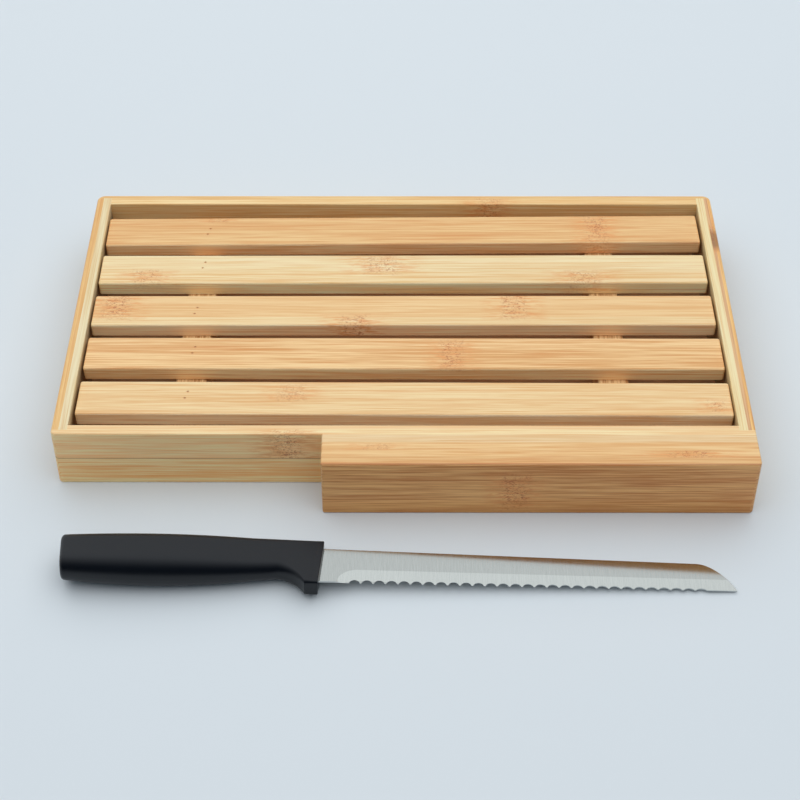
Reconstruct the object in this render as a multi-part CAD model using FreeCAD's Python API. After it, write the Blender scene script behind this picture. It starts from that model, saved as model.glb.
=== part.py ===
"""Bamboo bread board with a knife: a crumb tray, a loose slatted grate and a bread knife.

Frame: millimetres, origin on the table under the middle of the tray, X to the right
along the slats, Y from the knife's side to the rear, Z up. The tray is a frame of rails
round a flush floor, with a knife block glued to the right part of its front rail. The
grate lies loose inside. The knife lies on the table in front, as it does in use, and
its blade goes into the block's slot from the left end, edge down, with the handle's foot
just clear of the table.
"""

import FreeCAD
import Part
import math
import os

# Tray, outside
tray_length = 360.0
tray_depth = 198.5
tray_height = 35.8

# Rails: front and rear run the full length, the side rails are glued up from two plies
front_rail_thickness = 6.8
rear_rail_thickness = 8.3
side_outer_ply = 3.8
side_inner_ply = 4.5
front_lip = 3.3
rear_lip = 2.6
front_seam_height = 18.4

# Floor panel, flush with the underside and let into the rails
floor_thickness = 4.0
floor_reach = 3.0
floor_play = 0.2

# Roundings of the tray and the block
front_corner_radius = 2.5
rear_corner_radius = 4.5
block_corner_radius = 1.2
base_edge_radius = 0.8
rim_edge_radius = 0.8
inner_rim_radius = 0.5

# Knife block: a back strip and a front bar with the slot ploughed into its rear face
block_end_wall = 14.3
block_depth = 21.4
block_back_strip = 5.5
slot_side_play = 2.7
slot_top_play = 1.3
slot_end_play = 2.5
foot_clearance = 0.7

# Grate
slat_count = 5
slat_width = 24.8
grate_margin = 9.5
slat_thickness = 8.2
slat_drop = 2.0
slat_end_play = 1.2
slat_corner_radius = 1.3
slat_edge_radius = 0.9
batten_width = 16.2
batten_inset_left = 57.3
batten_inset_right = 58.4
batten_end_inset = 2.0
batten_edge_radius = 1.2

# Brads that hold the slats on the left batten, two to a slat
brad_radius = 0.6
brad_length = 20.0
brad_sink = 0.3
brad_spacing = 4.9
brad_skew = 1.2
brad_play = 0.05
# They are driven by hand, so each slat's pair strays from the middle by its own (x, y)
brad_strays = [(0.9, -1.3), (0.4, 3.4), (-0.8, -0.5), (0.7, 2.4), (-0.2, 2.5)]
# The slats are laid by hand too: each strays by (x, y) and turns by degrees, as (x, y, degrees)
slat_strays = [(-0.35, 0.2, 0.56), (-0.2, 0.2, 0.16), (0.0, -0.1, 0.11), (0.3, -0.2, -0.06), (0.5, 0.0, -0.17)]

# Blade: u runs from the handle to the tip, v from the edge to the spine, w across
blade_length = 204.6
blade_thickness = 1.6
blade_edge_thickness = 0.4
spine_at_heel = 12.5
spine_at_shoulder = 8.6
shoulder_to_tip = 18.0
tip_bow = 2.9
edge_at_heel = -9.7
edge_at_tip = -9.1
tip_rise = 0.3
scallop_end = 14.9
scallop_pitch = 6.1
scallop_mouth = 5.3
scallop_depth_heel = 2.2
scallop_depth_tip = 1.4
first_scallop = 16.1
# How far up from the edge the grinding reaches near the heel, as (u, width), and at the tip
grind_at_heel = [(8.0, 1.0), (13.5, 7.4), (30.0, 8.1)]
grind_at_tip = 6.2
tang_length = 84.0
tang_height = 12.0

# Handle: its spine and belly are arcs through three points, (u, v) each
handle_length = 128.9
butt_bow = 2.1
butt_rake = 2.0
rake_fade = 26.0
spine_butt = 14.4
spine_middle = (-60.0, 15.8)
spine_bolster = 14.4
belly_butt = -9.1
belly_middle = (-85.0, -10.7)
belly_neck = (-22.0, -5.3)
finger_middle = (-13.4, -9.0)
foot_height = -15.0
foot_start = -8.3
foot_end = -1.8
bolster_end = 0.4
half_thickness_butt = 7.4
half_thickness_middle = (-95.0, 8.75)
half_thickness_neck = (-36.0, 6.3)
half_thickness_bolster = 4.4
corner_radius_butt = 5.4
corner_radius_middle = (-87.0, 6.2)
corner_radius_bolster = 0.7

# Where the knife lies: it touches the table with the handle's side and the blade's tip
knife_x = -39.8
knife_from_block = 42.9
knife_tilt = 1.75
knife_roll = 5.0
knife_yaw = -0.34

# Worked out from the sizes above
half_length = tray_length / 2
front_y = -tray_depth / 2
rear_y = tray_depth / 2
side_thickness = side_outer_ply + side_inner_ply
inner_half_length = half_length - side_thickness
inner_front_y = front_y + front_rail_thickness
inner_rear_y = rear_y - rear_rail_thickness
slot_length = blade_length + slot_end_play
block_length = slot_length + block_end_wall
block_left_x = half_length - block_length
block_front_y = front_y - block_depth
slot_width = blade_thickness + 2 * slot_side_play
slot_height = spine_at_heel - edge_at_heel + slot_top_play
slot_floor = edge_at_heel - foot_height + foot_clearance
slot_front_y = front_y - block_back_strip - slot_width
slat_half_length = inner_half_length - slat_end_play
slat_top = tray_height - slat_drop
slat_underside = slat_top - slat_thickness
grate_depth = inner_rear_y - inner_front_y - 2 * grate_margin
grate_middle_y = (inner_rear_y + inner_front_y) / 2
slat_gap = (grate_depth - slat_count * slat_width) / (slat_count - 1)
batten_left_x = -slat_half_length + batten_inset_left
batten_right_x = slat_half_length - batten_inset_right
half_blade = blade_thickness / 2
scallop_count = 1 + int((blade_length - scallop_end - scallop_mouth / 2 - first_scallop) / scallop_pitch)


def box(low, high):
    """A box between two corners."""
    size = [b - a for a, b in zip(low, high)]
    return Part.makeBox(size[0], size[1], size[2], FreeCAD.Vector(*low))


def edges_along(shape, axis, chosen):
    """The straight edges along an axis (0, 1 or 2) whose middle point is chosen."""
    found = []
    for edge in shape.Edges:
        ends = [vertex.Point for vertex in edge.Vertexes]
        if len(ends) < 2:
            continue
        run = ends[1] - ends[0]
        across = [abs(part) for place, part in enumerate(run) if place != axis]
        if max(across) < 1e-6 and chosen((ends[0] + ends[1]) / 2):
            found.append(edge)
    return found


def face_edges(shape, height):
    """Every edge that lies wholly at one height."""
    return [edge for edge in shape.Edges
            if abs(edge.BoundBox.ZMin - height) < 1e-4 and abs(edge.BoundBox.ZMax - height) < 1e-4]


def outer_form():
    """The outside of tray and block in one piece, with its roundings, as a tool to shape the rails."""
    tray = box((-half_length, front_y, 0), (half_length, rear_y, tray_height))
    block = box((block_left_x, block_front_y, 0), (half_length, front_y, tray_height))
    form = tray.fuse(block).removeSplitter()
    corners = [
        (rear_corner_radius, lambda p: p.y > 0),
        (front_corner_radius, lambda p: p.x < block_left_x - 1 and p.y < 0),
        (front_corner_radius, lambda p: p.x > half_length - 1 and p.y < 0),
        (block_corner_radius, lambda p: abs(p.x - block_left_x) < 1 and p.y < front_y - 1),
    ]
    for radius, chosen in corners:
        form = form.makeFillet(radius, edges_along(form, 2, chosen))
    form = form.makeFillet(rim_edge_radius, face_edges(form, tray_height))
    return form.makeFillet(base_edge_radius, face_edges(form, 0))


def hollow_form():
    """The outer form with the inside of the tray taken out and its inner rim eased."""
    inside = box((-inner_half_length, inner_front_y, -1), (inner_half_length, inner_rear_y, tray_height + 1))
    ring = outer_form().cut(inside)

    def on_inner_rim(edge):
        bounds = edge.BoundBox
        return (abs(bounds.ZMin - tray_height) < 1e-4 and bounds.XMax < inner_half_length + 1e-4
                and bounds.XMin > -inner_half_length - 1e-4 and bounds.YMin > inner_front_y - 1e-4
                and bounds.YMax < inner_rear_y + 1e-4)

    rim = [edge for edge in ring.Edges if on_inner_rim(edge)]
    return ring.makeFillet(inner_rim_radius, rim)


def floor_recess():
    """The space for the floor panel, with its play, ploughed into the rails' undersides."""
    x = inner_half_length + floor_reach
    return box((-x, inner_front_y - floor_reach, -1), (x, inner_rear_y + floor_reach, floor_thickness))


def rails():
    """Front, rear and side rails and the two block pieces, all cut from one outer form."""
    ring = hollow_form().cut(floor_recess())
    low = -1
    high = tray_height + 1
    side_front = front_y + front_lip
    side_rear = rear_y - rear_lip
    left_inner = box((-inner_half_length - side_inner_ply, side_front, low),
                     (-inner_half_length, side_rear, high))
    left_outer = box((-half_length, side_front, low),
                     (-inner_half_length - side_inner_ply, side_rear, high))
    right_inner = box((inner_half_length, side_front, low),
                      (inner_half_length + side_inner_ply, side_rear, high))
    right_outer = box((inner_half_length + side_inner_ply, side_front, low),
                      (half_length, side_rear, high))
    sides = {
        "left_rail_inner": left_inner,
        "left_rail_outer": left_outer,
        "right_rail_inner": right_inner,
        "right_rail_outer": right_outer,
    }
    pieces = {name: ring.common(space) for name, space in sides.items()}

    front = box((-half_length, front_y, low), (half_length, inner_front_y, high))
    rear = box((-half_length, inner_rear_y, low), (half_length, rear_y, high))
    for space in sides.values():
        front = front.cut(space)
        rear = rear.cut(space)
    lower = box((-half_length, front_y, low), (half_length, inner_front_y, front_seam_height))
    pieces["front_rail_lower"] = ring.common(front.common(lower))
    pieces["front_rail_upper"] = ring.common(front.cut(lower))
    pieces["rear_rail"] = ring.common(rear)

    strip_front_y = front_y - block_back_strip
    strip = box((block_left_x, strip_front_y, low), (half_length, front_y, high))
    bar = box((block_left_x, block_front_y, low), (half_length, strip_front_y, high))
    slot = box((block_left_x - 1, slot_front_y, slot_floor),
               (block_left_x + slot_length, strip_front_y, slot_floor + slot_height))
    pieces["block_back_strip"] = ring.common(strip)
    pieces["block_front_bar"] = ring.common(bar).cut(slot)
    return pieces


def crumb_floor():
    """The floor panel, flush with the rails' underside."""
    x = inner_half_length + floor_reach - floor_play
    y = floor_reach - floor_play
    return box((-x, inner_front_y - y, 0), (x, inner_rear_y + y, floor_thickness))


def slat_middle_y(number):
    """The middle of a slat, counted from the rear, which is slat 1."""
    _, stray_y, _ = slat_strays[(number - 1) % len(slat_strays)]
    rear_edge = grate_middle_y + grate_depth / 2 - (number - 1) * (slat_width + slat_gap)
    return rear_edge - slat_width / 2 + stray_y


def brad_places(number):
    """The two brads of a slat, side by side across it and a little askew, as (x, y)."""
    stray_x, stray_y = brad_strays[(number - 1) % len(brad_strays)]
    x = batten_left_x + stray_x
    y = slat_middle_y(number) + stray_y
    return [(x + side * brad_skew / 2, y + side * brad_spacing / 2) for side in (-1, 1)]


def brad(place, play=0.0):
    """One brad, or with play the hole for it."""
    top = slat_top if play else slat_top - brad_sink
    length = brad_length + brad_sink if play else brad_length
    start = FreeCAD.Vector(place[0], place[1], top - length)
    return Part.makeCylinder(brad_radius + play, length + play, start)


def slat(number):
    """One slat with rounded ends and arrises, and its two brad holes."""
    x, _, turn = slat_strays[(number - 1) % len(slat_strays)]
    y = slat_middle_y(number)
    blank = box((x - slat_half_length, y - slat_width / 2, slat_underside),
                (x + slat_half_length, y + slat_width / 2, slat_top))
    blank = blank.makeFillet(slat_corner_radius, edges_along(blank, 2, lambda p: True))
    arrises = face_edges(blank, slat_top) + face_edges(blank, slat_underside)
    blank = blank.makeFillet(slat_edge_radius, arrises)
    blank.rotate(FreeCAD.Vector(x, y, 0), FreeCAD.Vector(0, 0, 1), turn)
    for place in brad_places(number):
        blank = blank.cut(brad(place, brad_play))
    return blank


def batten(middle_x, drilled):
    """A batten across the slats that stands on the floor, drilled where the brads go in."""
    reach = grate_depth / 2 - batten_end_inset
    blank = box((middle_x - batten_width / 2, grate_middle_y - reach, floor_thickness),
                (middle_x + batten_width / 2, grate_middle_y + reach, slat_underside))
    blank = blank.makeFillet(batten_edge_radius, edges_along(blank, 1, lambda p: p.z > floor_thickness + 1))
    if drilled:
        for number in range(1, slat_count + 1):
            for place in brad_places(number):
                blank = blank.cut(brad(place, brad_play))
    return blank


def brads():
    """All brads of the grate as one group of separate solids."""
    return Part.makeCompound([brad(place) for number in range(1, slat_count + 1)
                              for place in brad_places(number)])


def three_point_curve(points):
    """The parabola through three points, as a function of u."""
    def value(u):
        total = 0.0
        for i, (ui, vi) in enumerate(points):
            share = vi
            for j, (uj, _) in enumerate(points):
                if j != i:
                    share *= (u - uj) / (ui - uj)
            total += share
        return total
    return value


def bolster_u(v):
    """The raked front end of the handle: u where it stands at height v."""
    share = (v - foot_height) / (spine_bolster - foot_height)
    return foot_end + share * (bolster_end - foot_end)


def circle_through(first, middle, last):
    """Centre and radius of the circle through three points (u, v)."""
    circle = Part.Circle(*[FreeCAD.Vector(u, v, 0) for u, v in (first, middle, last)])
    return circle.Center, circle.Radius


def belly(u):
    """The handle's lower outline: a long bow, then the hollow for the finger, then the foot."""
    bow = three_point_curve([(-handle_length + butt_bow, belly_butt), belly_middle, belly_neck])
    if u <= belly_neck[0]:
        return bow(u)
    if u >= foot_start:
        return foot_height
    centre, radius = circle_through(belly_neck, finger_middle, (foot_start, foot_height))
    return centre.y + math.sqrt(radius ** 2 - (u - centre.x) ** 2)


def handle_section(u):
    """The handle's cross-section at u: a rectangle with round corners, closed."""
    butt = -handle_length + butt_bow
    spine = three_point_curve([(butt, spine_butt), spine_middle, (bolster_end, spine_bolster)])(u)
    under = belly(u)
    barrel = three_point_curve([(butt, half_thickness_butt), half_thickness_middle, half_thickness_neck])
    taper = (u - half_thickness_neck[0]) / (bolster_end - half_thickness_neck[0])
    neck = half_thickness_neck[1] + taper * (half_thickness_bolster - half_thickness_neck[1])
    half = barrel(u) if u < half_thickness_neck[0] else neck
    rounding = three_point_curve([(butt, corner_radius_butt), corner_radius_middle,
                                  (bolster_end, corner_radius_bolster)])(u)
    beyond = max(0.0, (butt - u) / butt_bow)
    draw_in = butt_bow * (1 - math.sqrt(max(0.0, 1 - beyond ** 2)))
    spine -= draw_in
    under += draw_in
    half -= draw_in
    radius = min(rounding, 0.92 * half)
    rake = butt_rake * max(0.0, min(1.0, (butt + rake_fade - u) / rake_fade))
    return rounded_wire(u, under, spine, half, radius, rake)


def rounded_wire(u, low, high, half, radius, rake):
    """A rounded rectangle at u, from low to high in v and half to each side in w, leaning by rake."""
    flat = radius * (1 - math.sqrt(0.5))
    corners = [(high, half, 1, 1), (high, -half, 1, -1), (low, -half, -1, -1), (low, half, -1, 1)]
    starts = []
    edges = []
    for v, w, up, out in corners:
        along = (v - up * radius, w)
        across = (v, w - out * radius)
        mid = (v - up * flat, w - out * flat)
        ends = (along, mid, across) if up * out > 0 else (across, mid, along)
        arc = [FreeCAD.Vector(u - rake * (point[0] - low) / (high - low), point[0], point[1])
               for point in ends]
        starts.append(arc)
    for place, arc in enumerate(starts):
        following = starts[(place + 1) % len(starts)]
        edges.append(Part.Arc(*arc).toShape())
        edges.append(Part.LineSegment(arc[2], following[0]).toShape())
    return Part.Wire(edges)


def handle_stations():
    """Places along the handle where its section is drawn, closer where the outline turns."""
    butt = -handle_length + butt_bow
    dome = [butt - butt_bow * math.sin(math.radians(angle)) for angle in (80, 55, 28)]
    grip = [butt + share * (belly_neck[0] - butt) for share in
            (0, 0.06, 0.14, 0.24, 0.36, 0.48, 0.6, 0.72, 0.84, 0.93, 1)]
    finger = [belly_neck[0] + share * (foot_start - belly_neck[0]) for share in
              (0.2, 0.4, 0.58, 0.72, 0.84, 0.93, 1)]
    return dome + grip + finger + [bolster_end]


def tang(play=0.0):
    """The blade's tang, which the handle is moulded round."""
    middle = (spine_at_heel + edge_at_heel) / 2
    return box((-tang_length, middle - tang_height / 2, -half_blade),
               (bolster_u(middle) + play, middle + tang_height / 2, half_blade))


def handle():
    """The moulded handle, drawn through its sections and cut off along the raked bolster."""
    body = Part.makeLoft([handle_section(u) for u in handle_stations()], True, True)
    reach = 3 * half_thickness_middle[1]
    front = [
        (bolster_u(-reach * 2), -reach * 2),
        (bolster_u(reach * 2), reach * 2),
        (reach * 2, reach * 2),
        (reach * 2, -reach * 2),
    ]
    points = [FreeCAD.Vector(u, v, -reach) for u, v in front]
    cutter = Part.Face(Part.makePolygon(points + points[:1])).extrude(FreeCAD.Vector(0, 0, 2 * reach))
    return body.cut(cutter).cut(tang(1.0))


def edge_height(u):
    """The line of the cutting edge, which is not quite parallel to u."""
    return edge_at_heel + u / blade_length * (edge_at_tip - edge_at_heel)


def blade_outline():
    """The blade's side outline, closed: spine, rounded shoulder, tip, scalloped edge, raked heel."""
    shoulder = blade_length - shoulder_to_tip
    heel_top = FreeCAD.Vector(bolster_u(spine_at_heel), spine_at_heel, 0)
    shoulder_top = FreeCAD.Vector(shoulder, spine_at_shoulder, 0)
    tip = FreeCAD.Vector(blade_length, edge_at_tip + tip_rise, 0)
    chord = (shoulder_top + tip) / 2
    run = tip - shoulder_top
    outward = FreeCAD.Vector(-run.y, run.x, 0).normalize()
    edges = [
        Part.LineSegment(heel_top, shoulder_top).toShape(),
        Part.Arc(shoulder_top, chord + outward * tip_bow, tip).toShape(),
    ]
    half_mouth = scallop_mouth / 2
    reached = tip
    for number in reversed(range(scallop_count)):
        middle = first_scallop + number * scallop_pitch
        depth = scallop_depth_heel + middle / blade_length * (scallop_depth_tip - scallop_depth_heel)
        mouth = FreeCAD.Vector(middle + half_mouth, edge_height(middle + half_mouth), 0)
        deepest = FreeCAD.Vector(middle, edge_height(middle) + depth, 0)
        far = FreeCAD.Vector(middle - half_mouth, edge_height(middle - half_mouth), 0)
        edges.append(Part.LineSegment(reached, mouth).toShape())
        edges.append(Part.Arc(mouth, deepest, far).toShape())
        reached = far
    heel_bottom = FreeCAD.Vector(bolster_u(edge_at_heel), edge_at_heel, 0)
    edges.append(Part.LineSegment(reached, heel_bottom).toShape())
    edges.append(Part.LineSegment(heel_bottom, heel_top).toShape())
    return Part.Wire(edges)


def grind_wedge():
    """What the grinding takes off the upper side, thickest at the edge and narrower at the tip."""
    def slice_at(u, width):
        top = half_blade + 1
        ground = blade_thickness - blade_edge_thickness
        low = edge_height(u)
        points = [(low, half_blade - ground), (low + width, half_blade), (low + width, top), (low - 1, top),
                  (low - 1, half_blade - ground)]
        corners = [FreeCAD.Vector(u, v, w) for v, w in points]
        return Part.makePolygon(corners + corners[:1])
    reaches = grind_at_heel + [(blade_length + 1, grind_at_tip)]
    return Part.makeLoft([slice_at(u, width) for u, width in reaches], True, True)


def blade():
    """The blade with its ground edge and scallops, and the tang."""
    plate = Part.Face(blade_outline()).extrude(FreeCAD.Vector(0, 0, blade_thickness))
    plate.translate(FreeCAD.Vector(0, 0, -half_blade))
    return plate.cut(grind_wedge()).fuse(tang()).removeSplitter()


def lay_down(pieces):
    """Lay the knife's pieces in front of the block, tip a little down and spine down, on the table."""
    turn = (FreeCAD.Rotation(FreeCAD.Vector(0, 0, 1), knife_yaw)
            * FreeCAD.Rotation(FreeCAD.Vector(0, 1, 0), knife_tilt)
            * FreeCAD.Rotation(FreeCAD.Vector(1, 0, 0), -knife_roll))
    start = FreeCAD.Vector(knife_x, block_front_y - knife_from_block, 0)
    for piece in pieces.values():
        piece.Placement = FreeCAD.Placement(start, turn)
    lowest = min(piece.optimalBoundingBox(False, False).ZMin for piece in pieces.values())
    for piece in pieces.values():
        piece.translate(FreeCAD.Vector(0, 0, -lowest))
    return pieces


def build():
    """Every piece of the object by the name of its node."""
    pieces = rails()
    pieces["crumb_floor"] = crumb_floor()
    for number in range(1, slat_count + 1):
        pieces["slat_%d" % number] = slat(number)
    pieces["batten_left"] = batten(batten_left_x, True)
    pieces["batten_right"] = batten(batten_right_x, False)
    pieces["brads"] = brads()
    pieces.update(lay_down({"knife_handle": handle(), "knife_blade": blade()}))
    return pieces


os.makedirs("parts", exist_ok=True)
for name, shape in build().items():
    bounds = shape.BoundBox
    print("%-18s solids %2d  valid %s  volume %9.1f  z %.2f to %.2f"
          % (name, len(shape.Solids), shape.isValid(), shape.Volume, bounds.ZMin, bounds.ZMax))
    shape.exportStep("parts/%s.step" % name)
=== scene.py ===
# %% [markdown]
# # A bamboo bread board with its knife
#
# The CAD part gives every piece its true size and place. This notebook dresses it: bamboo for the
# tray and the grate, ground steel for the blade, grained black plastic for the handle. Each
# step says what the real thing is like, how it could be made here, and why one way was chosen.

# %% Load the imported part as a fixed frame
import bpy
import math
import numpy as np
from mathutils import Matrix


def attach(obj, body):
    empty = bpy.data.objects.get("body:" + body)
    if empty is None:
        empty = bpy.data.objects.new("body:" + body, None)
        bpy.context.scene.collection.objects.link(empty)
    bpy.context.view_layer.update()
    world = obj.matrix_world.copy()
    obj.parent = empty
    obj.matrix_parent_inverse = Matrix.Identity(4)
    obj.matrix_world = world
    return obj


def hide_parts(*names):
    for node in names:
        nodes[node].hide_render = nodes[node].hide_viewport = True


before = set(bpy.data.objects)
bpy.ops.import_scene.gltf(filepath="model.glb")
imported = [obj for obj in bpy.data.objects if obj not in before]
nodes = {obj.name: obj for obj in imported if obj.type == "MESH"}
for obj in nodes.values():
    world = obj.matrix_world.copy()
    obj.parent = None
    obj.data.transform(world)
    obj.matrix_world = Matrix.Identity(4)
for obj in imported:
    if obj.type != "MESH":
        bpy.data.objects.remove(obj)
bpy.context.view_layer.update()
MM = 0.001
print("pieces of the frame:", len(nodes))

# %% [markdown]
# ## The camera
#
# A product photograph is taken from a little above with a long lens, so that the tray's sides
# hardly run together. A camera in Blender looks along its own minus Z axis. Three directions,
# right, up and back, written as the columns of a matrix, turn it without any angle
# to work out.

# %% Camera
LENS_PIXELS = 1774.7
FRAME_PIXELS = 800
SENSOR_MM = 36.0
CAMERA_PLACE = (1.5, -736.3, 676.6)
CAMERA_RIGHT = (0.999994, 0.003041, -0.001753)
CAMERA_UP = (-0.000855, 0.695336, 0.718684)
CAMERA_BACK = (0.003403, -0.718679, 0.695335)


def placed(right, up, back, place):
    """The matrix of an object whose three axes and place (in metres) are given."""
    matrix = np.eye(4)
    matrix[:3, :] = np.transpose([right, up, back, place])
    return Matrix(matrix.tolist())


lens = bpy.data.cameras.new("camera")
lens.sensor_width = SENSOR_MM
lens.lens = LENS_PIXELS / FRAME_PIXELS * SENSOR_MM
lens.clip_start = 0.01
camera = bpy.data.objects.new("camera", lens)
camera.matrix_world = placed(CAMERA_RIGHT, CAMERA_UP, CAMERA_BACK, np.array(CAMERA_PLACE) * MM)
bpy.context.scene.collection.objects.link(camera)
bpy.context.scene.camera = camera
print("focal length in mm:", round(lens.lens, 1))

# %% [markdown]
# ## Colours and nodes
#
# A colour is stored on a curve, while light adds up on a straight scale, so each
# written colour is bent back first. The other helpers add a node, set what they are told, and
# either write a socket's value or join it to another node.

# %% Helpers for colours and shader nodes
def paint(red, green, blue):
    """A colour written as 0 to 255: v / 255 bent back by ((v + 0.055) / 1.055) ** 2.4."""
    share = np.array([red, green, blue]) / 255
    linear = np.where(share <= 0.04045, share / 12.92, ((share + 0.055) / 1.055) ** 2.4)
    return (*linear.tolist(), 1.0)


def add(tree, kind, joins=None, **settings):
    """A new node of that kind, with its settings, and each named socket written or joined."""
    made = tree.nodes.new(kind)
    for name, value in settings.items():
        setattr(made, name, value)
    for name, value in (joins or {}).items():
        if isinstance(value, bpy.types.NodeSocket):
            tree.links.new(value, made.inputs[name])
        else:
            made.inputs[name].default_value = value
    return made


def calc(tree, operation, *values):
    """The result of a Math node: the operation done on two or three numbers or sockets."""
    return add(tree, "ShaderNodeMath", dict(enumerate(values)), operation=operation).outputs[0]


def vector(tree, operation, *values):
    """The result of a Vector Math node on one to three vectors or sockets."""
    made = add(tree, "ShaderNodeVectorMath", dict(enumerate(values)), operation=operation)
    return made.outputs[0]


def part_of(tree, place, axis):
    """One part (0, 1 or 2) of a vector."""
    return add(tree, "ShaderNodeSeparateXYZ", {0: place}).outputs[axis]


def blend_colours(tree, share, low, high):
    """Colour low where share is 0 and high where it is 1."""
    return add(tree, "ShaderNodeMix", {0: share, 6: low, 7: high}, data_type="RGBA").outputs[2]


def between(tree, value, low, high, to_low=0.0, to_high=1.0):
    """The value mapped straight from low..high to to_low..to_high, and held at the ends."""
    made = add(tree, "ShaderNodeMapRange", {"Value": value, "From Min": low, "From Max": high,
                                            "To Min": to_low, "To Max": to_high})
    return made.outputs[0]


def noise(tree, place, detail=3.0, roughness=0.55, distortion=0.0):
    """Soft noise around 0.5 at a place that is already scaled."""
    made = add(tree, "ShaderNodeTexNoise", {"Vector": place, "Scale": 1.0, "Detail": detail,
                                            "Roughness": roughness, "Distortion": distortion})
    return made.outputs["Fac"]


def new_material(name):
    """An empty material with its shader, and the place on the piece in millimetres."""
    material = bpy.data.materials.new(name)
    material.use_nodes = True
    tree = material.node_tree
    tree.nodes.clear()
    shader = add(tree, "ShaderNodeBsdfPrincipled")
    add(tree, "ShaderNodeOutputMaterial", {"Surface": shader.outputs[0]})
    place = add(tree, "ShaderNodeTexCoord").outputs["Object"]
    in_mm = vector(tree, "MULTIPLY", place, (1000.0, 1000.0, 1000.0))
    return material, tree, shader, in_mm


def set_bump(tree, shader, height, strength, metres):
    """Small relief of that height, as deep as metres says."""
    bump = add(tree, "ShaderNodeBump", {"Height": height, "Strength": strength, "Distance": metres})
    tree.links.new(bump.outputs[0], shader.inputs["Normal"])


# %% [markdown]
# ## Bamboo
#
# A bamboo board is glued up from split and planed strips of the stem. Its fibres show as long
# fine streaks, pale and honey brown, and each node of the stem leaves a band of short curled
# red-brown marks with an orange flare along the grain. One could paint this, but noise that
# is stretched along the grain gives the same look at any size, and each strip gets its own.

# %% A soft patch on a piece
def near(tree, place, middle, reach):
    """1 at the middle, falling to 0 where the largest of |place - middle| / reach is 1."""
    away = vector(tree, "DIVIDE", vector(tree, "SUBTRACT", place, middle), reach)
    parts = add(tree, "ShaderNodeSeparateXYZ", {0: vector(tree, "ABSOLUTE", away)}).outputs
    largest = calc(tree, "MAXIMUM", calc(tree, "MAXIMUM", parts[0], parts[1]), parts[2])
    return between(tree, largest, 1.0, 0.45)


# %% The bamboo material: sizes in mm are (along the grain, across it)
BROAD, BUNDLE, FIBRE = (130.0, 6.0), (60.0, 1.3), (30.0, 0.5)
THREAD, FLAME, CURL = (60.0, 0.65), (9.0, 1.1), (1.9, 1.0)
SEED_SHIFT, STRIP_SHIFT = 13.3, 31.7
FLARE_LENGTH = 2.2
FLARE_COLOUR, MARK_COLOUR = paint(230, 152, 84), paint(180, 90, 42)
SHADE_COLOUR = paint(84, 40, 16)
RELIEF_STRENGTH, RELIEF_METRES = 0.35, 0.00015


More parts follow.
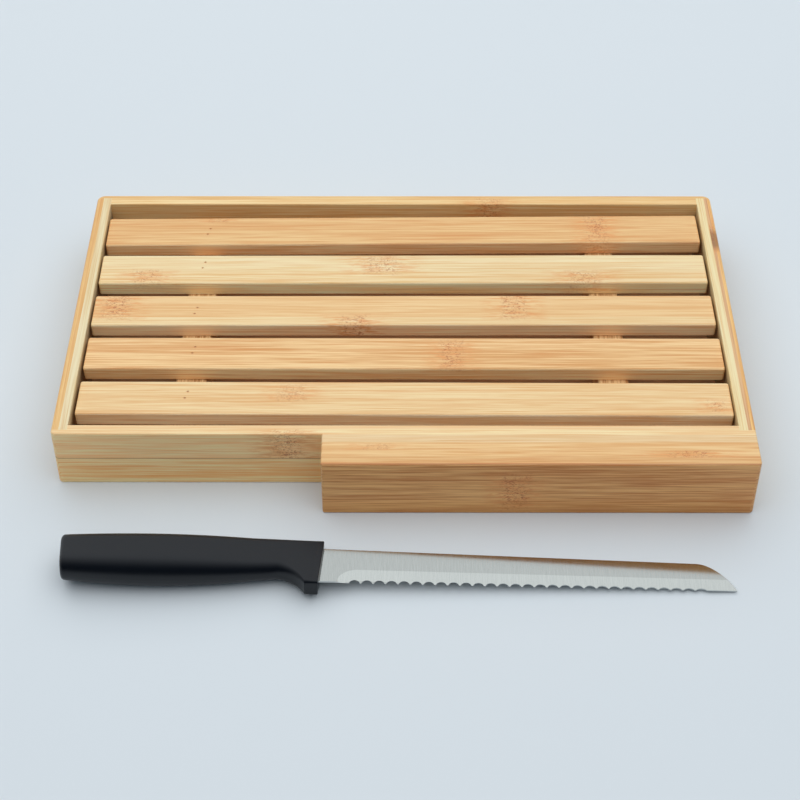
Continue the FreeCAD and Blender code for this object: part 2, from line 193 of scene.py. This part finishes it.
def bamboo(name, pale, warm, grain, seed, knots=(), split=None, turn=0.0,
           shade_below=None, front=None, stains=()):
    """Bamboo whose fibres run along axis `grain` (0 or 1), turned by `turn` degrees.

    seed    = shifts the noise, so that no two strips are alike;
    streaks = noise(place / (long along the grain, thin across it)), in three widths;
    colour  = pale to warm by the streaks, with darker and paler single threads;
    knots   = rows of (middle, reach, strength): curled marks and an orange flare;
    split   = (axis, height, pale, warm): beyond that height it is a second, glued-on strip;
    dim     = (low, high): painted shade: darker brown below z low, none above z high;
    front   = (pale, warm): painted light and shade: the colours of the faces that look to the front, set for how they are lit;
    stains  = rows of (middle, reach, share, colour): a glue line, an edge or a patch.
    """
    material, tree, shader, place = new_material(name)
    if turn:
        turned = {"Vector": place, "Rotation": (0, 0, math.radians(-turn))}
        place = add(tree, "ShaderNodeMapping", turned, vector_type="POINT").outputs[0]
    shift, low, high = (seed * SEED_SHIFT,) * 3, paint(*pale), paint(*warm)
    thread_colour = paint(warm[0] - 8, warm[1] - 30, warm[2] - 38)
    if split:
        axis, height, other_pale, other_warm = split
        beyond = between(tree, part_of(tree, place, axis), height - 0.1, height + 0.1)
        second = calc(tree, "ROUND", beyond)
        shift = calc(tree, "MULTIPLY_ADD", second, STRIP_SHIFT, seed * SEED_SHIFT)
        low = blend_colours(tree, beyond, low, paint(*other_pale))
        high = blend_colours(tree, beyond, high, paint(*other_warm))
    # Painted light and shade: the faces that look to the front get other colours, standing in for
    # how they are lit.
    if front:
        normal = add(tree, "ShaderNodeTexCoord").outputs["Normal"]
        lit_front_share = between(tree, part_of(tree, normal, 1), -0.5, -0.9)
        low = blend_colours(tree, lit_front_share, low, paint(*front[0]))
        high = blend_colours(tree, lit_front_share, high, paint(*front[1]))

    def stretched(length, width):
        scale = [1.0 / width] * 3
        scale[grain] = 1.0 / length
        return vector(tree, "MULTIPLY_ADD", place, scale, shift)

    broad = noise(tree, stretched(*BROAD), 2.0, 0.5)
    bundle = noise(tree, stretched(*BUNDLE), 3.0, 0.7)
    fibre = noise(tree, stretched(*FIBRE), 2.0, 0.6)
    streaks = calc(tree, "MULTIPLY_ADD", bundle, 0.6, calc(tree, "MULTIPLY", broad, 0.4))
    streaks = calc(tree, "MULTIPLY_ADD", fibre, 0.45, streaks)
    colour = blend_colours(tree, between(tree, streaks, 0.62, 0.82), low, high)
    thread = noise(tree, stretched(*THREAD), 1.0, 0.5, 0.3)
    darker = between(tree, thread, 0.55, 0.66, 0.0, 0.45)
    colour = blend_colours(tree, darker, colour, thread_colour)
    paler = between(tree, thread, 0.46, 0.36, 0.0, 0.5)
    colour = blend_colours(tree, paler, colour, low)

    marks = flares = 0.0
    for middle, reach, strength in knots:
        wide = list(reach)
        wide[grain] *= FLARE_LENGTH
        band = calc(tree, "MULTIPLY", near(tree, place, middle, reach), strength)
        flare = calc(tree, "MULTIPLY", near(tree, place, middle, wide), strength)
        marks = calc(tree, "MAXIMUM", marks, band)
        flares = calc(tree, "MAXIMUM", flares, flare)
    relief = calc(tree, "MULTIPLY_ADD", bundle, 0.5, calc(tree, "MULTIPLY", fibre, 0.5))
    if knots:
        flame = noise(tree, stretched(*FLAME), 2.0, 0.6, 0.6)
        flame = calc(tree, "MULTIPLY", flares, between(tree, flame, 0.44, 0.62, 0.0, 0.75))
        colour = blend_colours(tree, flame, colour, FLARE_COLOUR)
        curl = noise(tree, stretched(*CURL), 2.0, 0.5, 1.6)
        sunk = calc(tree, "MULTIPLY", marks, between(tree, curl, 0.54, 0.60))
        colour = blend_colours(tree, calc(tree, "MULTIPLY", sunk, 0.66), colour, MARK_COLOUR)
        relief = calc(tree, "SUBTRACT", relief, calc(tree, "MULTIPLY", sunk, 0.15))
    for middle, reach, share, stain in stains:
        share = calc(tree, "MULTIPLY", near(tree, place, middle, reach), share)
        colour = blend_colours(tree, share, colour, paint(*stain))
    # Painted shade: the colour turns darker brown below z low.
    if shade_below:
        share = between(tree, part_of(tree, place, 2), *shade_below, 0.75, 0.0)
        colour = blend_colours(tree, share, colour, SHADE_COLOUR)

    tree.links.new(colour, shader.inputs["Base Color"])
    tree.links.new(between(tree, fibre, 0.3, 0.7, 0.41, 0.54), shader.inputs["Roughness"])
    shader.inputs["Specular IOR Level"].default_value = 0.6
    set_bump(tree, shader, relief, RELIEF_STRENGTH, RELIEF_METRES)
    return material


def dress(node, material):
    """Gives a CAD node's object this one material."""
    nodes[node].data.materials.clear()
    nodes[node].data.materials.append(material)


# %% [markdown]
# ## The tray and the knife block
#
# Each rail is its own strip or pair of strips, so each gets two colours and a seed of its own. The
# side rails' fibres run front to back, all others from left to right. Inside the tray, where the
# grate hides and shades them, the side rails get painted shade: darker brown towards the bottom.

# %% Bamboo on the rails and the floor
ALONG_X, ALONG_Y = 0, 1
# Painted shade on the side rails' inner faces, below the grate.
INNER_SHADE = (27.5, 33.4)
GLUE_LINE = ((0, -99, 18.4), (400, 9, 0.6), 0.7, (130, 62, 28))
DARK_PATCH = ((178, 58, 34), (6, 11, 7), 0.65, (122, 78, 38))

dress("rear_rail", bamboo(
    "bamboo_rear_rail", (249, 220, 162), (236, 190, 124), ALONG_X, 1,
    knots=[((50, 92, 27), (9, 6, 16), 1.0)],
    split=(1, 95.0, (240, 204, 142), (227, 176, 109))))
# front= gives the faces that look to the front other colours: painted light and shade.
dress("front_rail_upper", bamboo(
    "bamboo_front_upper", (251, 228, 174), (240, 196, 138), ALONG_X, 2,
    knots=[((-60, -99, 26), (10, 4, 16), 1.0)],
    split=(1, -95.4, (248, 214, 160), (240, 196, 140)),
    front=((255, 225, 164), (255, 193, 126))))
dress("front_rail_lower", bamboo(
    "bamboo_front_lower", (255, 228, 166), (249, 182, 106), ALONG_X, 3, stains=[GLUE_LINE]))
dress("left_rail_outer", bamboo(
    "bamboo_left_outer", (240, 200, 135), (226, 172, 104), ALONG_Y, 4))
# dim= paints shade on the inner faces, darker brown below the grate.
dress("left_rail_inner", bamboo(
    "bamboo_left_inner", (240, 224, 182), (228, 200, 146), ALONG_Y, 5, shade_below=INNER_SHADE))
dress("right_rail_inner", bamboo(
    "bamboo_right_inner", (244, 226, 176), (236, 208, 148), ALONG_Y, 6, shade_below=INNER_SHADE))
# Beyond x 178 the outer strip is painted a brighter orange: a second strip, and partly a painted
# highlight along its rounded outer edge.
dress("right_rail_outer", bamboo(
    "bamboo_right_outer", (226, 180, 130), (206, 150, 106), ALONG_Y, 7,
    knots=[((178, 64, 34), (6, 11, 7), 1.0)],
    split=(0, 178.0, (246, 202, 128), (226, 166, 96)), stains=[DARK_PATCH]))
dress("crumb_floor", bamboo("bamboo_floor", (192, 146, 102), (168, 120, 78), ALONG_X, 10))

# %% Bamboo on the knife block
FRONT_EDGE = ((60, -119.95, 36), (400, 0.6, 1.5), 0.5, (168, 84, 40))
LOW_STREAK = ((60, -121, 0), (400, 6, 12), 0.3, (238, 160, 72))

dress("block_back_strip", bamboo(
    "bamboo_block_back", (241, 210, 161), (231, 190, 134), ALONG_X, 8))
# Painted light and shade: the faces that look to the front get their own colours (front=), and dim=
# paints shade towards the foot.
dress("block_front_bar", bamboo(
    "bamboo_block_front", (233, 188, 128), (214, 152, 88), ALONG_X, 9,
    knots=[((57, -121, 15), (9, 4, 17), 1.3), ((-14, -108, 36), (9, 3, 4), 0.7),
           ((145, -113, 36), (14, 3, 4), 0.9)],
    split=(1, -114.5, (242, 202, 143), (225, 167, 101)), shade_below=(-22.0, 9.0),
    front=((246, 189, 118), (201, 125, 60)), stains=[FRONT_EDGE, LOW_STREAK]))

# %% [markdown]
# ## The slats
#
# The slats keep their CAD shapes, with the brad holes in them. Each was cut from another strip, so
# each gets its own two colours and its own nodes of the stem, and its grain follows the small
# turn at which it was laid. The right halves of three of them are a little more yellow.

# %% Bamboo on the slats
YELLOW = (210, 150, 75)
YELLOW_REACH = (110, 14, 6)
# Each front pair is painted light: the faces that look to the front get lighter colours than the
# tops, for how they are lit.
SLATS = [
    {"pale": (240, 200, 139), "warm": (224, 165, 101), "turn": 0.56,
     "front": ((255, 220, 170), (247, 182, 124)),
     "knots": [((112, 69, 30), (8, 18, 9), 1.0), ((-107, 80, 34), (7, 3, 3), 0.9)]},
    {"pale": (246, 222, 172), "warm": (234, 192, 129), "turn": 0.16,
     "front": ((255, 250, 206), (255, 219, 157)),
     "knots": [((-144, 28, 34), (9, 7, 6), 1.0), ((-12, 38, 34), (12, 10, 3), 0.9),
               ((101, 27, 34), (11, 7, 8), 1.0)],
     "split": (1, 32.0, (246, 226, 178), (237, 203, 146)),
     "stains": [((95, 27, 34), YELLOW_REACH, 0.14, YELLOW)]},
    {"pale": (246, 220, 168), "warm": (237, 199, 141), "turn": 0.11,
     "front": ((255, 233, 190), (253, 209, 160)),
     "knots": [((-158, 3, 34), (10, 14, 3), 1.0), ((-27, -11, 31), (10, 8, 8), 1.0),
               ((61, 3, 34), (9, 14, 3), 1.0)],
     "split": (1, -6.5, (244, 207, 150), (231, 180, 118)),
     "stains": [((100, -7, 34), YELLOW_REACH, 0.1, YELLOW)]},
    {"pale": (249, 210, 151), "warm": (221, 161, 97), "turn": -0.06,
     "front": ((255, 229, 177), (244, 191, 131)),
     "knots": [((26, -37, 34), (8, 14, 3), 1.0)],
     "stains": [((105, -42, 34), YELLOW_REACH, 0.1, YELLOW)]},
    {"pale": (246, 216, 162), "warm": (232, 184, 123), "turn": -0.17,
     "front": ((251, 232, 198), (236, 198, 151)),
     "knots": [((-58, -67, 34), (9, 8, 3), 0.7), ((163, -76, 34), (6, 6, 3), 0.8)]},
]
for number, look in enumerate(SLATS, 1):
    slat = "slat_%d" % number
    dress(slat, bamboo("bamboo_" + slat, grain=ALONG_X, seed=20 + number, **look))

# %% [markdown]
# ## What holds the grate together
#
# Two battens run across under the slats, sawn from darker strips. Thin brads go through the slats
# into the left one; their ends are only small dull dots, so one plain colour is enough.

# %% Battens and brads
for batten in ("batten_left", "batten_right"):
    dress(batten, bamboo("bamboo_" + batten, (240, 204, 150), (190, 138, 86), ALONG_Y, 30))

brad_steel, tree, shader, place = new_material("brad_steel")
shader.inputs["Base Color"].default_value = paint(206, 150, 104)
shader.inputs["Metallic"].default_value = 0.2
shader.inputs["Roughness"].default_value = 0.6
dress("brads", brad_steel)

# %% [markdown]
# ## Surfaces from numpy grids
#
# Every new piece is a grid of points: one ring after the other along the piece, the same number
# of points in each. Four neighbours make one face. Written this way a shape is a formula in
# two numbers, where along and where round, and a finer mesh is only a finer grid.

# %% From rings of points to a piece
def make_piece(name, rings, body, node, material, crease):
    """A closed piece: faces between neighbouring rings (points in mm) and one face at each end.

    The points of a ring run anticlockwise for who looks back at it from the last ring. Edges
    sharper than crease degrees stay sharp.
    """
    rows, columns, _ = rings.shape
    row, column = np.meshgrid(np.arange(rows - 1) * columns, np.arange(columns), indexing="ij")
    after = (column + 1) % columns
    corners = [row + column, row + after, row + columns + after, row + columns + column]
    faces = np.stack(corners, axis=-1).reshape(-1, 4).tolist()
    faces.append(list(range(columns))[::-1])
    faces.append([(rows - 1) * columns + number for number in range(columns)])
    mesh = bpy.data.meshes.new(name)
    mesh.from_pydata((rings.reshape(-1, 3) * MM).tolist(), [], faces)
    mesh.shade_smooth()
    mesh.set_sharp_from_angle(angle=math.radians(crease))
    mesh.materials.append(material)
    piece = bpy.data.objects.new(name, mesh)
    bpy.context.scene.collection.objects.link(piece)
    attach(piece, body)
    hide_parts(node)
    print(name, "faces:", len(faces))


# %% [markdown]
# ## Where the knife lies
#
# The knife is worked out lying straight: u from the handle to the tip, v from the edge to the
# spine, w across its thickness. Then three small turns and a lift lay it on the
# table, on the handle's side and the blade's tip, as it lies in front of the board.

# %% Lay the knife down
KNIFE_START = (-39.8, -163.55)
KNIFE_YAW, KNIFE_TILT, KNIFE_ROLL = -0.34, 1.75, -5.0


def turn_about(axis, degrees):
    """The matrix that turns about axis 0, 1 or 2."""
    c, s = math.cos(math.radians(degrees)), math.sin(math.radians(degrees))
    first, second = [(1, 2), (2, 0), (0, 1)][axis]
    matrix = np.eye(3)
    matrix[first, first] = matrix[second, second] = c
    matrix[first, second], matrix[second, first] = -s, s
    return matrix


KNIFE_TURN = turn_about(2, KNIFE_YAW) @ turn_about(1, KNIFE_TILT) @ turn_about(0, KNIFE_ROLL)


def lay_down(points, lift):
    """Turned, then moved to the knife's start and lifted."""
    return points @ KNIFE_TURN.T + np.array([*KNIFE_START, lift])


# %% [markdown]
# ## The handle
#
# The handle is moulded black plastic. Each cross-section is a rectangle with round corners; its
# height follows the spine and the belly, its thickness swells in the palm. The belly ends
# in a hollow for the finger and a square foot. So the handle is one section whose sizes
# are functions of u.

# %% Curves through points
def bow_through(*points):
    """The parabola through three points, as a function of u."""
    return np.poly1d(np.polyfit(*np.transpose(points), 2))


def circle_through(first, middle, last):
    """Centre and radius of a circle: the point as far from the first as from the other two."""
    first, middle, last = np.array(first), np.array(middle), np.array(last)
    rows = 2 * np.array([middle - first, last - first])
    centre = np.linalg.solve(rows, [middle @ middle - first @ first, last @ last - first @ first])
    return centre, np.linalg.norm(centre - first)


# %% The handle's measures along its length
HANDLE_LENGTH = 128.2
BUTT_BOW = 2.1
BUTT_U = BUTT_BOW - HANDLE_LENGTH
PALM_U, NECK_U, FOOT_U, FRONT_U = -36.0, -22.0, -8.3, 0.4
SPINE_V, NECK_V, FOOT_V = 14.4, -5.3, -15.0
PALM_HALF, FRONT_HALF = 6.3, 4.4
ROUND_SHARE = 0.97


def handle_measures(u):
    """Spine and belly heights, half thickness, and the corner radii at spine and belly."""
    spine = bow_through((BUTT_U, SPINE_V), (-60.0, 15.8), (FRONT_U, SPINE_V))(u)
    bow = bow_through((BUTT_U, -9.1), (-85.0, -10.7), (NECK_U, NECK_V))(u)
    centre, radius = circle_through((NECK_U, NECK_V), (-13.4, -9.0), (FOOT_U, FOOT_V))
    hollow = centre[1] + np.sqrt(np.maximum(radius ** 2 - (u - centre[0]) ** 2, 0))
    belly = np.where(u <= NECK_U, bow, np.where(u >= FOOT_U, FOOT_V, hollow))
    palm = bow_through((BUTT_U, 7.4), (-95.0, 8.75), (PALM_U, PALM_HALF))(u)
    neck = PALM_HALF + (u - PALM_U) / (FRONT_U - PALM_U) * (FRONT_HALF - PALM_HALF)
    half = np.where(u < PALM_U, palm, neck)
    corner = bow_through((BUTT_U, 5.4), (-87.0, 6.2), (FRONT_U, 0.7))(u)
    fade = np.clip((FOOT_U - 1.0 - u) / 15.0, 0, 1)
    belly_corner = corner + (ROUND_SHARE * half - corner) * fade
    return spine, belly - 0.58 * (belly_corner - corner), half, corner, belly_corner


# %% The rings of the handle
BUTT_RAKE, BUTT_RAKE_LENGTH = 2.0, 26.0
FOOT_FRONT_U = -1.8
CORNER_STEPS, SIDE_STEPS = 9, 4


def front_rake(v):
    """The front end leans from the foot to the spine: u there, for a height v."""
    return FOOT_FRONT_U + (v - FOOT_V) / (SPINE_V - FOOT_V) * (FRONT_U - FOOT_FRONT_U)


def handle_rings():
    """Round-cornered sections.

    The butt is drawn in by bow * (1 - cos a) while it goes out by bow * sin a.
    """
    dome = np.radians([90, 90, 76, 60, 45, 30, 15])
    grip = np.linspace(BUTT_U, NECK_U, 40)
    finger = NECK_U + (FOOT_U - NECK_U) * (1 - (1 - np.linspace(0, 1, 25)[1:]) ** 1.7)
    front = np.array([-6.0, -3.6, -3.6, -3.6, -3.6])
    u = np.concatenate([BUTT_U - BUTT_BOW * np.sin(dome), grip, finger, front])
    drawn = np.concatenate([BUTT_BOW * (1 - np.cos(dome)), np.zeros(len(u) - len(dome))])
    drawn[0] += 0.6
    drawn[-2:] = (0.3, 0.6)
    forward = np.concatenate([np.zeros(len(u) - 3), [0.9, 1.0, 1.0]])[:, None]
    spine, belly, half, corner, belly_corner = handle_measures(np.maximum(u, BUTT_U))
    spine, belly, half = spine - drawn, belly + drawn, half - drawn
    corner = np.minimum(corner, 0.92 * half)
    belly_corner = np.minimum(belly_corner, ROUND_SHARE * half)

    angle = np.linspace(0, math.pi / 2, CORNER_STEPS)
    quarters = []
    for quarter, (high, right) in enumerate([(1, 1), (0, 1), (0, 0), (1, 0)]):
        radius = corner if high else belly_corner
        v0 = np.where(high, spine - radius, belly + radius)[:, None]
        w0 = np.where(right, half - radius, radius - half)[:, None]
        turned = angle + quarter * math.pi / 2
        quarters.append(np.stack([v0 + radius[:, None] * np.cos(turned),
                                  w0 + radius[:, None] * np.sin(turned)], -1))
    ring = []
    for part, following in zip(quarters, quarters[1:] + quarters[:1]):
        share = np.linspace(0, 1, SIDE_STEPS + 2)[1:-1][None, :, None]
        ring += [part, part[:, -1:] * (1 - share) + following[:, :1] * share]
    v, w = np.moveaxis(np.concatenate(ring, axis=1), -1, 0)
    rake = BUTT_RAKE * np.clip((BUTT_U + BUTT_RAKE_LENGTH - u) / BUTT_RAKE_LENGTH, 0, 1)[:, None]
    place = u[:, None] - rake * (v - belly[:, None]) / (spine - belly)[:, None]
    place = place * (1 - forward) + front_rake(v) * forward
    return np.stack([place, v, w], axis=-1)


# %% [markdown]
# ## The blade
#
# The blade is stamped from 1.6 mm sheet and ground from one side, with a scalloped edge. Its
# outline is a function of u too: the spine falls evenly, bends over at the shoulder and meets the
# edge in the tip; the edge is a row of circular hollows that get shallower. So it is again a
# row of rings, with closer rings where the edge curves.

# %% The blade's outline
BLADE_LENGTH = 204.6
HALF_BLADE = 0.8
SHOULDER_U = BLADE_LENGTH - 18.8
EDGE_AT_HEEL, EDGE_RISE = -9.7, 0.9
SPINE_AT_HEEL, SPINE_FALL = 12.5, 3.9
TIP_FALL, TIP_POWER = 17.15, 1.95
FIRST_SCALLOP, PITCH, MOUTH, SCALLOPS = 16.1, 6.1, 5.3, 29


def plain_edge(u):
    """The straight line of the cutting edge before the scallops are ground in."""
    return EDGE_AT_HEEL + u / BLADE_LENGTH * EDGE_RISE


def spine_line(u):
    """Straight to the shoulder, then falling with a power of the way to the tip."""
    share = np.clip((u - SHOULDER_U) / (BLADE_LENGTH - SHOULDER_U), 0, 1)
    straight = SPINE_AT_HEEL - SPINE_FALL * np.minimum(u / SHOULDER_U, 1)
    return straight - TIP_FALL * share ** TIP_POWER


def scalloped_edge(u):
    """The plain edge raised, inside each hollow, to a circle through its mouth's ends."""
    number = np.clip(np.round((u - FIRST_SCALLOP) / PITCH), 0, SCALLOPS - 1)
    middle = FIRST_SCALLOP + number * PITCH
    along = middle / BLADE_LENGTH
    depth = 2.2 - 0.8 * along - 0.65 * along ** 4
    radius = ((MOUTH / 2) ** 2 + depth ** 2) / (2 * depth)
    away = np.abs(u - middle)
    raised = np.sqrt(np.maximum(radius ** 2 - away ** 2, 0)) - (radius - depth)
    return plain_edge(u) + np.where(away < MOUTH / 2, np.maximum(raised, 0), 0)


# %% The rings of the blade
GROUND_FROM, GROUND_FULL = 7.5, 18.0
GROUND_AT_HEEL, GROUND_AT_TIP = 8.1, 6.2
GROUND_SLOPE = 1.25 / 7.6
SPINE_EASE = 0.15


def ground_reach(u):
    """How far up the grinding goes: a quarter of an ellipse at the heel, then a slow fall."""
    share = np.clip((u - GROUND_FROM) / (GROUND_FULL - GROUND_FROM), 0, 1)
    fall = (u - GROUND_FULL) / BLADE_LENGTH * (GROUND_AT_HEEL - GROUND_AT_TIP)
    return np.sqrt(1 - (1 - share) ** 2) * (GROUND_AT_HEEL - fall)


def blade_rings():
    """At each u: up the ground face, over the flat, round the spine and back underneath."""
    heel = np.concatenate([[-4.0, 2.0, 5.0], GROUND_FROM + 6.0 * np.linspace(0, 1, 14) ** 2])
    lobes = (FIRST_SCALLOP + np.arange(SCALLOPS)[:, None] * PITCH
             - MOUTH / 2 * np.cos(np.linspace(0, math.pi, 15))).ravel()
    point = np.linspace(SHOULDER_U + 1.6, BLADE_LENGTH - 0.05, 26)
    u = np.unique(np.round(np.concatenate([heel, lobes, point]), 4))
    spine = spine_line(u)
    edge = np.minimum(scalloped_edge(u), spine)
    ground_line = plain_edge(u) + ground_reach(u)
    line = np.minimum(np.maximum(ground_line, edge), spine - 0.02)
    taper = 0.030 - 0.038 * np.clip(u / BLADE_LENGTH, 0, 1)
    under = 0 * u - HALF_BLADE

    def upper(v):
        return HALF_BLADE - GROUND_SLOPE * np.maximum(ground_line - v, 0) - taper * (spine - v)

    ease = np.minimum(SPINE_EASE, (spine - edge) / 4)
    heights = [edge + (line - edge) * share for share in (0, 0.2, 0.5, 0.8, 1)]
    heights += [line + (spine - line) * share for share in (0.02, 0.35, 0.7)]
    rows = [(v, upper(v)) for v in heights + [spine - ease]]
    rows += [(spine, upper(spine - ease) - ease), (spine, under + ease), (spine - ease, under)]
    rows += [(edge + (spine - edge) * share, under) for share in (0.5, 0)]
    v, w = (np.stack(column, axis=1)[:, ::-1] for column in zip(*rows))
    return np.stack([np.repeat(u[:, None], v.shape[1], axis=1), v, w], axis=-1)


# %% [markdown]
# ## Plastic and steel
#
# The handle's mould left a very fine grain, which softens what the plastic mirrors. The blade was
# ground across its length, so its fine lines run from edge to spine. Both are noise, once the
# same in all directions and once stretched along the lines.

# %% Plastic of the handle
plastic, tree, shader, place = new_material("handle_plastic")
shader.inputs["Base Color"].default_value = paint(4, 9, 18)
shader.inputs["Roughness"].default_value = 0.36
shader.inputs["Specular IOR Level"].default_value = 0.42
mould_grain = noise(tree, vector(tree, "MULTIPLY", place, (2.6, 2.6, 2.6)), 2.0, 0.6)
set_bump(tree, shader, mould_grain, 0.5, 0.00008)

# %% Steel of the blade
steel, tree, shader, place = new_material("blade_steel")
shader.inputs["Metallic"].default_value = 1.0
lines = noise(tree, vector(tree, "MULTIPLY", place, (3.0, 0.12, 0.12)), 3.0, 0.7)
tint = between(tree, lines, 0.3, 0.7)
tint = blend_colours(tree, tint, paint(191, 194, 192), paint(201, 204, 202))
tree.links.new(tint, shader.inputs["Base Color"])
tree.links.new(between(tree, lines, 0.3, 0.7, 0.07, 0.12), shader.inputs["Roughness"])
set_bump(tree, shader, lines, 0.15, 0.00002)

# %% Make the knife
HANDLE_CREASE, BLADE_CREASE = 30.0, 4.0
blade = blade_rings()
lift = -lay_down(blade, 0.0)[..., 2].min()
make_piece("knife_handle_moulded", lay_down(handle_rings(), lift), "knife", "knife_handle",
           plastic, HANDLE_CREASE)
make_piece("knife_blade_ground", lay_down(blade, lift), "knife", "knife_blade", steel, BLADE_CREASE)
print("lift in mm:", round(lift, 2))

# %% [markdown]
# ## The table
#
# The board stands on a pale blue-grey table. Far from the board the table would fade where the
# lamps' light ends, so there it is drawn at one pale level for the camera only.

# %% Table
TABLE_HALF = 4.0
FAR_COLOUR = paint(214, 222, 228)
FADE_FROM, FADE_TO = 550.0, 1300.0

table_mesh = bpy.data.meshes.new("table")
corners = [(x * TABLE_HALF, y * TABLE_HALF, 0) for x, y in ((-1, -1), (1, -1), (1, 1), (-1, 1))]
table_mesh.from_pydata(corners, [], [(0, 1, 2, 3)])
table = bpy.data.objects.new("table", table_mesh)
bpy.context.scene.collection.objects.link(table)
table_paint, tree, shader, place = new_material("table_paint")
shader.inputs["Base Color"].default_value = paint(220, 226, 229)
shader.inputs["Roughness"].default_value = 0.6
shader.inputs["Specular IOR Level"].default_value = 0.2
away = add(tree, "ShaderNodeVectorMath", {0: place}, operation="LENGTH").outputs["Value"]
seen = add(tree, "ShaderNodeLightPath").outputs["Is Camera Ray"]
far = calc(tree, "MULTIPLY", between(tree, away, FADE_FROM, FADE_TO), seen)
plain = add(tree, "ShaderNodeEmission", {"Color": FAR_COLOUR, "Strength": 1.0})
mixed = add(tree, "ShaderNodeMixShader", {0: far, 1: shader.outputs[0], 2: plain.outputs[0]})
tree.links.new(mixed.outputs[0], tree.nodes["Material Output"].inputs["Surface"])
table.data.materials.append(table_paint)

# %% [markdown]
# ## The lamps
#
# One large soft lamp hangs over the board, so the tops are bright and the shadows have no edge. A
# long low one stands behind the table and draws the shadows forward, towards the camera. The
# fronts get only the front of the large lamp and what the table throws back.

# %% Lamps
def soft_lamp(name, place, aim, width, depth, watts):
    """A rectangular area lamp at a place, turned so that it shines at its aim, and not mirrored."""
    light = bpy.data.lights.new(name, "AREA")
    light.shape = "RECTANGLE"
    light.size = width
    light.size_y = depth
    light.energy = watts
    lamp = bpy.data.objects.new(name, light)
    back = np.array(place, float) - np.array(aim, float)
    back /= np.linalg.norm(back)
    right = np.cross((0, 1, 0), back)
    right /= np.linalg.norm(right)
    lamp.matrix_world = placed(right, np.cross(back, right), back, place)
    lamp.visible_glossy = False
    bpy.context.scene.collection.objects.link(lamp)


soft_lamp("lamp_above", place=(-0.05, 0.13, 1.5), aim=(-0.05, 0.1, 0),
          width=3.4, depth=3.0, watts=35.8)
soft_lamp("lamp_behind", place=(-0.05, 1.6, 1.1), aim=(-0.05, 0, 0),
          width=2.6, depth=0.6, watts=5.8)

# %% [markdown]
# ## Surroundings
#
# Steel and black plastic show mostly what they mirror. In the studio that is a bright wall behind
# the table and a dark room in front of it. A picture of a room could stand here, but a
# gradient along the direction from front to rear says all that the knife shows of it. The light
# that falls on the board is nearly even, and the camera sees the table's own pale colour.

# %% Surroundings
ROOM_SEEN, WALL_SEEN, WALL_FALL = 0.04, 1.36, 0.26
ROOM_LIGHT, WALL_LIGHT = 0.33, 0.37
LIGHT_TINT, MIRROR_TINT = paint(206, 222, 238), paint(226, 230, 231)

world = bpy.data.worlds.new("surroundings")
bpy.context.scene.world = world
world.use_nodes = True
tree = world.node_tree
tree.nodes.clear()
rearward = part_of(tree, add(tree, "ShaderNodeTexCoord").outputs["Generated"], 1)
mirrored = between(tree, rearward, -0.6, 0.45, ROOM_SEEN, WALL_SEEN)
mirrored = calc(tree, "SUBTRACT", mirrored, between(tree, rearward, 0.47, 0.73, 0.0, WALL_FALL))
lighting = between(tree, rearward, -0.5, 0.5, ROOM_LIGHT, WALL_LIGHT)
rays = add(tree, "ShaderNodeLightPath").outputs
bounced = calc(tree, "MAXIMUM", rays["Is Transmission Ray"], rays["Is Glossy Ray"])
level = calc(tree, "MULTIPLY_ADD", bounced, calc(tree, "SUBTRACT", mirrored, lighting), lighting)
level = calc(tree, "MULTIPLY_ADD", rays["Is Camera Ray"], calc(tree, "SUBTRACT", 1.0, level), level)
tint = blend_colours(tree, bounced, LIGHT_TINT, MIRROR_TINT)
tint = blend_colours(tree, rays["Is Camera Ray"], tint, FAR_COLOUR)
back = add(tree, "ShaderNodeBackground", {"Color": tint, "Strength": level})
add(tree, "ShaderNodeOutputWorld", {"Surface": back.outputs[0]})

bpy.context.scene.view_settings.view_transform = "Standard"
